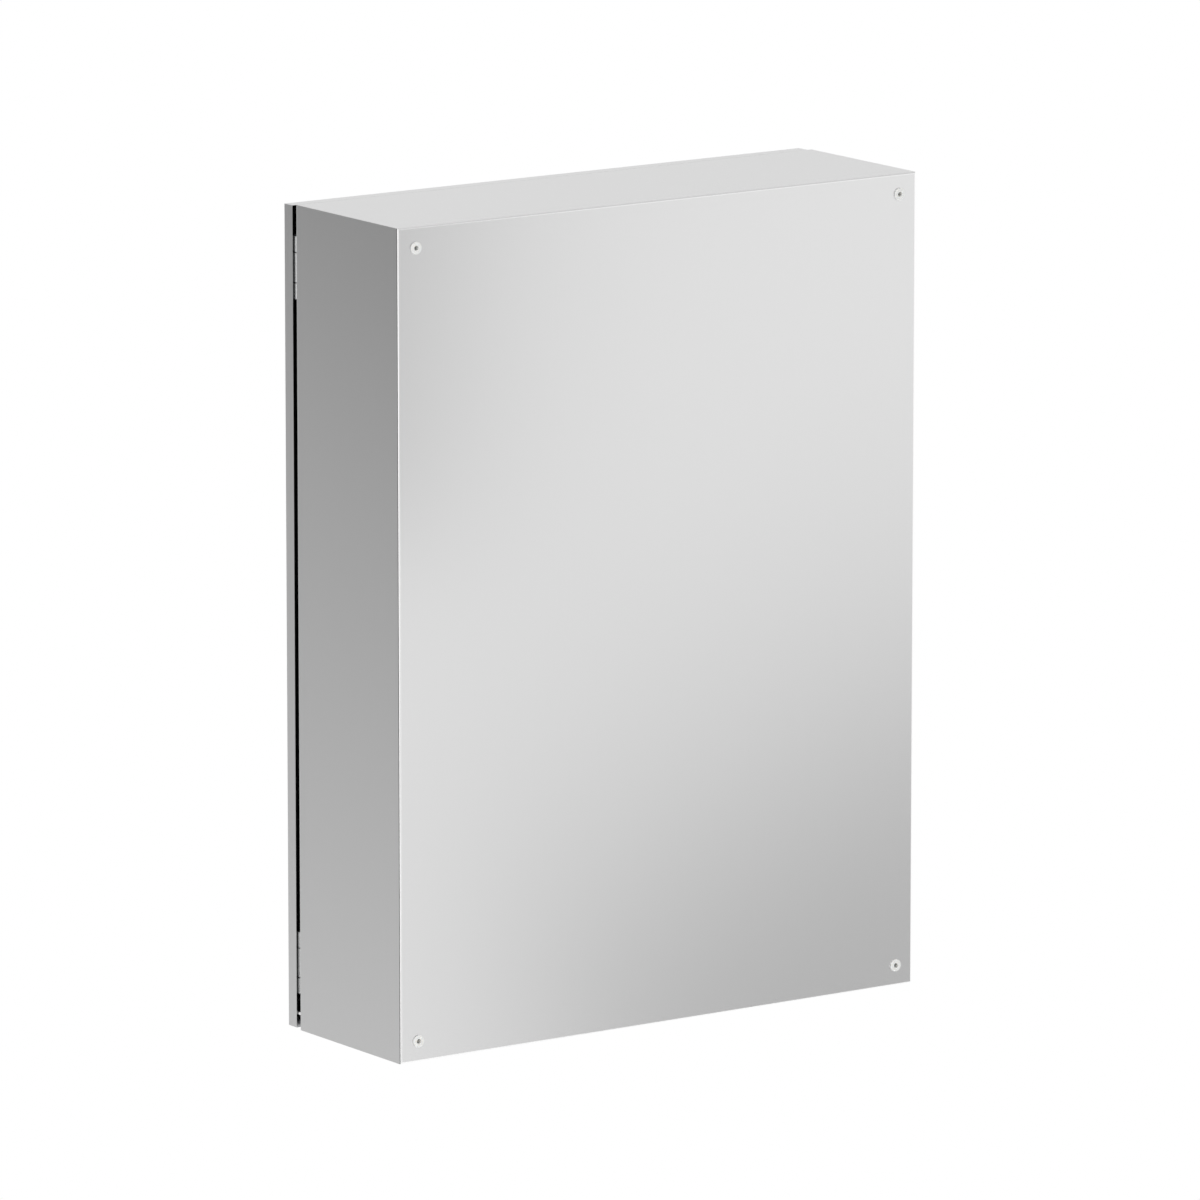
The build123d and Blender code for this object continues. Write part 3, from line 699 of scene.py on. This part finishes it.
def softened(name, source, radius, material, body, slot):
    """A copy of a CAD node with its edges rounded, shown in place of that node, which is hidden."""
    shape = bmesh.new()
    shape.from_mesh(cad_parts[source].data)
    bmesh.ops.remove_doubles(shape, verts=shape.verts, dist=TOUCHING)
    bmesh.ops.dissolve_limit(shape, angle_limit=FLAT_ANGLE, verts=shape.verts, edges=shape.edges)
    shape.verts.index_update()
    mesh = bpy.data.meshes.new(name)
    mesh.from_pydata(
        [corner.co for corner in shape.verts], [],
        [[corner.index for corner in face.verts] for face in shape.faces],
    )
    shape.free()
    mesh.materials.append(material)
    mesh.shade_smooth()
    mesh.set_sharp_from_angle(angle=SHARP_EDGE)
    piece = add_object(name, mesh)
    rounding = piece.modifiers.new("rounded_edges", "BEVEL")
    rounding.width = radius
    rounding.segments = 2
    rounding.limit_method = "ANGLE"
    rounding.angle_limit = SHARP_EDGE
    evening = piece.modifiers.new("even_faces", "WEIGHTED_NORMAL")
    evening.keep_sharp = True
    fit(piece, body, slot, source)


class CABINET_OT_shells(bpy.types.Operator):
    """Give the case and the tray of the door their satin finish"""

    bl_idname = "cabinet.shells"
    bl_label = "Case and door tray"

    def execute(self, context):
        shells = (
            ("case_shell", (0, -1, 0), 0.0),
            # The door tray gets a band of painted shade along the rim of its back
            ("door_tray", (0, 1, 0), finishes().weld_zone),
        )
        for piece, hidden_side, weld_zone in shells:
            low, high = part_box(piece)
            middle, half_size = (low + high) / 2, (high - low) / 2
            steel = satin_stainless("satin_stainless_" + piece, middle, half_size, hidden_side, weld_zone)
            paint(steel, piece)
        return {"FINISHED"}


class CABINET_OT_bushes(bpy.types.Operator):
    """Give the wall bushes their white nylon"""

    bl_idname = "cabinet.bushes"
    bl_label = "Wall bushes"

    def execute(self, context):
        paint(once(moulded_nylon), "wall_bushes")
        return {"FINISHED"}


class CABINET_OT_buffers(bpy.types.Operator):
    """Set the rubber buffers on the front of the case, clear of the upper hinge"""

    bl_idname = "cabinet.buffers"
    bl_label = "Door buffers"

    def execute(self, context):
        radius = context.scene.cabinet_fasteners.buffer_radius
        low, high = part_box("door_buffers")
        left, right = low.x + radius, high.x - radius
        bottom, top = low.z + radius, high.z - radius
        places = [((x, high.y, z), (0, -1, 0)) for x, z in ((right, bottom), (left, bottom), (left, top))]
        sizes = {"Radius": radius, "Height": high.y - low.y, "Material": once(buffer_rubber)}
        pieces_on("rounded_buffers", buffer_tree(), places, sizes, "cabinet", "buffer_rubber", "door_buffers")
        return {"FINISHED"}


class CABINET_OT_hinges(bpy.types.Operator):
    """Give the hinge pins a dark grey steel that paints shade into the breaks between the knuckles, and round
    the edges and knuckle ends of the leaves
    """

    bl_idname = "cabinet.hinges"
    bl_label = "Hinges"

    def execute(self, context):
        edge = context.scene.cabinet_fasteners.leaf_edge
        steel = once(rolled_stainless)
        for hinge in ("hinge_upper_", "hinge_lower_"):
            # Dark pins paint shade into the breaks between the knuckles
            paint(once(shaded_pin_steel), hinge + "pin")
            for leaf, body in (("case_leaf", "cabinet"), ("door_leaf", "door")):
                softened("rounded_" + hinge + leaf, hinge + leaf, edge, steel, body, "bright_steel")
        return {"FINISHED"}


class CABINET_OT_rivets(bpy.types.Operator):
    """Set the blind rivets through the hinge leaves"""

    bl_idname = "cabinet.rivets"
    bl_label = "Hinge rivets"

    def execute(self, context):
        fastener = context.scene.cabinet_fasteners
        tree = rivet_tree()
        for body, source, towards in (("cabinet", "hinge_case_rivets", -1), ("door", "hinge_door_rivets", 1)):
            low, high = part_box(source)
            radius = (high.x - low.x) / 2
            head_top = high.y if towards > 0 else low.y
            seat = head_top - towards * fastener.rivet_height
            tail_end = high.y - low.y - fastener.rivet_height
            bottom, top = low.z + radius, high.z - radius
            heights = (bottom, bottom + fastener.rivet_spacing, top - fastener.rivet_spacing, top)
            places = [((low.x + radius, seat, z), (0, towards, 0)) for z in heights]
            sizes = {
                "Head radius": radius,
                "Head height": fastener.rivet_height,
                "Mandrel": fastener.mandrel,
                "Dimple floor": fastener.rivet_height - fastener.mandrel_depth,
                "Shank": fastener.rivet_shank,
                "Tail": fastener.rivet_tail,
                "Grip": tail_end - fastener.rivet_tail_height,
                "Tail end": tail_end,
                "Material": once(rolled_stainless),
            }
            pieces_on(body + "_blind_rivets", tree, places, sizes, body, "bright_steel", source)
        return {"FINISHED"}


class CABINET_OT_rails(bpy.types.Operator):
    """Give the shelf rails their rolled steel, and mark the spot welds on the feet of rails and bracket"""

    bl_idname = "cabinet.rails"
    bl_label = "Rails and weld marks"

    def execute(self, context):
        fastener = context.scene.cabinet_fasteners
        rails = [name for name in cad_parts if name.startswith("shelf_rail_")]
        paint(once(rolled_stainless), *rails)
        count = fastener.welds_per_foot
        row = [fastener.weld_pitch * (i - (count - 1) / 2) for i in range(count)]
        places = []
        for rail in rails:
            low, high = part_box(rail)
            inward = 1 if high.x < 0 else -1
            face = low.x + fastener.rail_sheet if inward > 0 else high.x - fastener.rail_sheet
            for y in (low.y + fastener.rail_foot / 2, high.y - fastener.rail_foot / 2):
                places += [((face, y, z), (inward, 0, 0)) for z in row]
        low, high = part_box("catch_bracket")
        for z in (low.z + fastener.bracket_foot / 2, high.z - fastener.bracket_foot / 2):
            places.append(((low.x + fastener.bracket_sheet, (low.y + high.y) / 2, z), (1, 0, 0)))
        sizes = {
            "Radius": fastener.weld_mark, "Swell": fastener.weld_swell, "Material": once(rolled_stainless)
        }
        pieces_on("weld_marks", weld_tree(), places, sizes, "cabinet", "bright_steel")
        return {"FINISHED"}


class CABINET_OT_shelves(bpy.types.Operator):
    """Give the shelves their glass, and round the edges of the clips and pads that carry them"""

    bl_idname = "cabinet.shelves"
    bl_label = "Shelves, clips and pads"

    def execute(self, context):
        fastener = context.scene.cabinet_fasteners
        steel, silicone = once(rolled_stainless), once(clear_silicone)
        paint(once(float_glass), "shelf_lower", "shelf_upper")
        softened("tumbled_clips", "shelf_clips", fastener.clip_edge, steel, "cabinet", "bright_steel")
        softened("soft_pads", "shelf_pads", fastener.pad_edge, silicone, "cabinet", "clear_silicone")
        return {"FINISHED"}


class CABINET_OT_catch(bpy.types.Operator):
    """Give the parts of the magnetic catch and its strike plate their finishes"""

    bl_idname = "cabinet.catch"
    bl_label = "Magnetic catch"

    def execute(self, context):
        edge = context.scene.cabinet_fasteners.clip_edge
        paint(once(moulded_nylon), "catch_housing")
        paint(once(rolled_stainless), "catch_bracket")
        paint(once(sintered_ferrite), "catch_magnet")
        paint(once(bright_zinc), "strike_plate")
        softened("rounded_poles", "catch_pole_plates", edge, once(bright_zinc), "cabinet", "bright_steel")
        return {"FINISHED"}


class CABINET_OT_screws(bpy.types.Operator):
    """Set the cross recess screws of the catch and of the strike plate"""

    bl_idname = "cabinet.screws"
    bl_label = "Screws"

    def execute(self, context):
        fastener = context.scene.cabinet_fasteners
        tree = screw_tree()
        shared = {
            "Shank": fastener.screw_shank,
            "Recess length": fastener.recess_length,
            "Recess width": fastener.recess_width,
            "Recess height": 2 * fastener.recess_depth,
            "Material": once(bright_zinc),
        }
        low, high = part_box("catch_screws")
        radius = (high.y - low.y) / 2
        seat = high.x - fastener.pan_height
        places = [((seat, low.y + radius, z), (1, 0, 0)) for z in (low.z + radius, high.z - radius)]
        sizes = {"Head radius": radius, "Dome": fastener.pan_height, "Cone": 0.0, "Length": seat - low.x}
        pieces_on(
            "catch_cross_screws", tree, places, shared | sizes, "cabinet", "bright_steel", "catch_screws"
        )
        low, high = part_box("strike_screws")
        radius = (high.x - low.x) / 2
        places = [((low.x + radius, high.y, z), (0, 1, 0)) for z in (low.z + radius, high.z - radius)]
        sizes = {"Head radius": radius, "Dome": 0.0, "Cone": fastener.sunk_depth, "Length": high.y - low.y}
        pieces_on(
            "strike_cross_screws", tree, places, shared | sizes, "door", "bright_steel", "strike_screws"
        )
        return {"FINISHED"}


class CABINET_OT_mirror(bpy.types.Operator):
    """Give the mirror its silvered glass and the tape behind it its foam"""

    bl_idname = "cabinet.mirror"
    bl_label = "Mirror"

    def execute(self, context):
        paint(once(silvered_glass), "mirror_glass")
        paint(once(foam_tape), "mirror_tape_strips")
        return {"FINISHED"}


def graded_card(name, centre, across, along, levels):
    """A reflection card that only shiny surfaces see. Its levels are spread evenly along it and blend."""
    centre, across, along = Vector(centre), Vector(across), Vector(along)
    steps = [i / (len(levels) - 1) - 0.5 for i in range(len(levels))]
    corners = [centre + along * step + across * side for step in steps for side in (-0.5, 0.5)]
    faces = [(2 * i, 2 * i + 1, 2 * i + 3, 2 * i + 2) for i in range(len(levels) - 1)]
    mesh = bpy.data.meshes.new(name)
    mesh.from_pydata(corners, [], faces)
    shown = mesh.attributes.new("level", "FLOAT", "POINT")
    shown.data.foreach_set("value", [level for level in levels for side in range(2)])
    card = add_object(name, mesh)
    material = bpy.data.materials.new(name)
    tree = cleared_tree(material)
    grade = node(tree, "ShaderNodeAttribute", attribute_name="level")
    glow = node(tree, "ShaderNodeEmission", {"Strength": grade.outputs["Fac"]})
    node(tree, "ShaderNodeOutputMaterial", {0: glow.outputs[0]})
    mesh.materials.append(material)
    card.visible_camera = False
    card.visible_diffuse = False
    card.visible_shadow = False
    card.visible_transmission = False


def soft_lamp(name, place, target, width, height, power):
    """A rectangular softbox aimed at a point. It lights matt surfaces and leaves no spot on shiny ones."""
    lamp = bpy.data.lights.new(name, "AREA")
    lamp.shape = "RECTANGLE"
    lamp.size = width
    lamp.size_y = height
    lamp.energy = power
    holder = add_object(name, lamp)
    holder.location = place
    holder.rotation_euler = (Vector(target) - Vector(place)).to_track_quat("-Z", "Y").to_euler()
    holder.visible_camera = False
    holder.visible_glossy = False


def set_camera(stage):
    """The camera of the main view, which looks down a little on the top of the case from behind."""
    toward = Vector((
        math.sin(stage.azimuth) * math.cos(stage.elevation),
        -math.cos(stage.azimuth) * math.cos(stage.elevation),
        math.sin(stage.elevation),
    ))
    lens = bpy.data.cameras.new("camera")
    lens.lens = stage.lens
    lens.sensor_width = 36.0
    lens.clip_end = 200.0
    camera = add_object("camera", lens)
    camera.location = Vector(stage.aim) + toward * stage.distance
    camera.rotation_euler = (-toward).to_track_quat("-Z", "Y").to_euler()
    bpy.context.scene.camera = camera


def white_surroundings():
    """A world that is white to the eye and in reflections, and a softer grey as light on matt surfaces."""
    grey, white = 0.65, 1.0
    world = bpy.data.worlds.new("white_surroundings")
    tree = cleared_tree(world)
    path = node(tree, "ShaderNodeLightPath").outputs
    seen = node(
        tree, "ShaderNodeMath", {0: path["Is Camera Ray"], 1: path["Is Glossy Ray"]}, operation="MAXIMUM"
    )
    shown = node(
        tree, "ShaderNodeMath", {0: seen.outputs[0], 1: path["Is Transmission Ray"]}, operation="MAXIMUM"
    )
    level = node(tree, "ShaderNodeMapRange", {0: shown.outputs[0], 3: grey, 4: white})
    glow = node(tree, "ShaderNodeBackground", {"Color": (1, 1, 1, 1), "Strength": level.outputs[0]})
    node(tree, "ShaderNodeOutputWorld", {0: glow.outputs[0]})
    bpy.context.scene.world = world


def white_floor(stage):
    """A pale floor below the hung cabinet, lifted to white where no shadow falls. It ends near enough for
    views from below to look past its edge."""
    height = cad_box[0].z - stage.floor_drop
    corners = ((-1, -1), (1, -1), (1, 1), (-1, 1))
    mesh = bpy.data.meshes.new("floor")
    mesh.from_pydata(
        [(x * stage.floor_reach, y * stage.floor_reach, height) for x, y in corners], [], [(0, 1, 2, 3)]
    )
    floor = add_object("floor", mesh)
    material = bpy.data.materials.new("white_floor")
    tree = cleared_tree(material)
    matt = node(tree, "ShaderNodeBsdfDiffuse", {"Color": (0.8, 0.8, 0.8, 1)})
    lift = node(tree, "ShaderNodeEmission", {"Strength": 0.43})
    both = node(tree, "ShaderNodeAddShader", {0: matt.outputs[0], 1: lift.outputs[0]})
    node(tree, "ShaderNodeOutputMaterial", {0: both.outputs[0]})
    mesh.materials.append(material)


def softboxes():
    """A low softbox off the upright edge between the hinge side and the back, and one high above."""
    soft_lamp(
        "key_softbox", place=(1.66, 1.39, -0.4), target=(0.2, 0.0, -0.1), width=1.1, height=1.3, power=6.0
    )
    soft_lamp("top_softbox", place=(1.2, 1.5, 2.6), target=(0, 0, 0), width=1.6, height=1.6, power=18.0)


def cards_for_the_hinge_side():
    """Bright low down and dark high up, with a darker flag, a card and a glint for the upright edge."""
    leaning = (0, -1.38, 2.4)
    side_levels = (0.875, 0.606, 0.333, 0.055, 0.0)
    flag_share = 0.16
    flag_levels = [flag_share * level for level in side_levels]
    graded_card("side_card", centre=(1.225, -1.4, 0), across=(0, 2.4, 0), along=leaning, levels=side_levels)
    graded_card("edge_flag", centre=(1.2, -0.475, 0), across=(0, 0.89, 0), along=leaning, levels=flag_levels)
    graded_card(
        "edge_card", centre=(0.405, 0.61, -0.15), across=(0.21, 0, 0), along=(0, 0, 1.2), levels=(0.6, 0.6)
    )
    graded_card(
        "glint_card", centre=(2.305, 0.716, -0.45),
        across=(-0.125, 0.364, 0), along=(0, 0, 1.8), levels=(1.7, 1.7),
    )


def cards_for_the_back():
    """A pale card for views from the catch side. For the main view, a shade that grows towards the lower
    right corner of the back, and a soft one at its upper left."""
    graded_card(
        "rear_card", centre=(1.9, 3.2, -0.3), across=(0, 0, 3.6), along=(3.4, 0, 0), levels=(0.97, 0.85)
    )
    graded_card(
        "low_card", centre=(-0.749, 0.6, -0.708), across=(0.579, 0, -0.258), along=(-0.621, 0, -1.395),
        levels=(1.0, 0.88, 0.5, 0.58, 0.58, 0.55, 0.52, 0.48),
    )
    graded_card(
        "high_card", centre=(0.05, 0.62, 0.291), across=(0.096, 0, -0.624), along=(0.544, 0, 0.084),
        levels=(0.456, 0.866),
    )


def cards_for_the_top_and_the_mirror():
    """An even card for the top in the main view, a ceiling for views from above, and slanting streaks
    that show the mirror to be one."""
    streak = (0.62, 0.68, 0.92, 0.7)
    streaks = 6
    graded_card(
        "top_card", centre=(-2.0, -2.4, 1.05), across=(0, 0, 1.7), along=(3.4, 0, 0), levels=(0.86, 0.86)
    )
    graded_card("ceiling_card", centre=(0, 0, 1.6), across=(4, 0, 0), along=(0, 4, 0), levels=(0.65, 0.65))
    graded_card(
        "mirror_card", centre=(0, -2.5, -0.3), across=(5.4, 0, 5.4), along=(4.2, 0, -4.2),
        levels=streak * streaks,
    )


class CABINET_OT_stage(bpy.types.Operator):
    """Set up the camera, the white surroundings, the floor, the lamps and the reflection cards"""

    bl_idname = "cabinet.stage"
    bl_label = "Studio"

    def execute(self, context):
        stage = context.scene.cabinet_stage
        context.scene.view_settings.view_transform = "Standard"
        set_camera(stage)
        white_surroundings()
        white_floor(stage)
        softboxes()
        cards_for_the_hinge_side()
        cards_for_the_back()
        cards_for_the_top_and_the_mirror()
        return {"FINISHED"}


class CABINET_PT_panel(bpy.types.Panel):
    """Lists the steps that dress the cabinet"""

    bl_label = "Mirror cabinet"
    bl_idname = "CABINET_PT_panel"
    bl_space_type = "VIEW_3D"
    bl_region_type = "UI"
    bl_category = "Cabinet"

    def draw(self, context):
        for step in STEPS:
            self.layout.operator(step.bl_idname)
        for group in GROUPS:
            box = self.layout.box()
            for name in GROUPS[group].__annotations__:
                box.prop(getattr(context.scene, group), name)


GROUPS = {
    "cabinet_finishes": CabinetFinishes,
    "cabinet_fasteners": CabinetFasteners,
    "cabinet_stage": CabinetStage,
}
STEPS = (
    CABINET_OT_shells, CABINET_OT_bushes, CABINET_OT_buffers, CABINET_OT_hinges, CABINET_OT_rivets,
    CABINET_OT_rails, CABINET_OT_shelves, CABINET_OT_catch, CABINET_OT_screws, CABINET_OT_mirror,
    CABINET_OT_stage,
)


def register():
    """Add the property groups, the steps and the panel to Blender."""
    for group in GROUPS.values():
        bpy.utils.register_class(group)
    for name, group in GROUPS.items():
        setattr(bpy.types.Scene, name, PointerProperty(type=group))
    for step in STEPS:
        bpy.utils.register_class(step)
    bpy.utils.register_class(CABINET_PT_panel)


def unregister():
    """Take the panel, the steps and the property groups out again."""
    bpy.utils.unregister_class(CABINET_PT_panel)
    for step in reversed(STEPS):
        bpy.utils.unregister_class(step)
    for name, group in GROUPS.items():
        delattr(bpy.types.Scene, name)
        bpy.utils.unregister_class(group)


def main():
    """Dress the cabinet step by step."""
    register()
    bpy.ops.cabinet.shells()
    bpy.ops.cabinet.bushes()
    bpy.ops.cabinet.buffers()
    bpy.ops.cabinet.hinges()
    bpy.ops.cabinet.rivets()
    bpy.ops.cabinet.rails()
    bpy.ops.cabinet.shelves()
    bpy.ops.cabinet.catch()
    bpy.ops.cabinet.screws()
    bpy.ops.cabinet.mirror()
    bpy.ops.cabinet.stage()


if __name__ == "__main__":
    main()
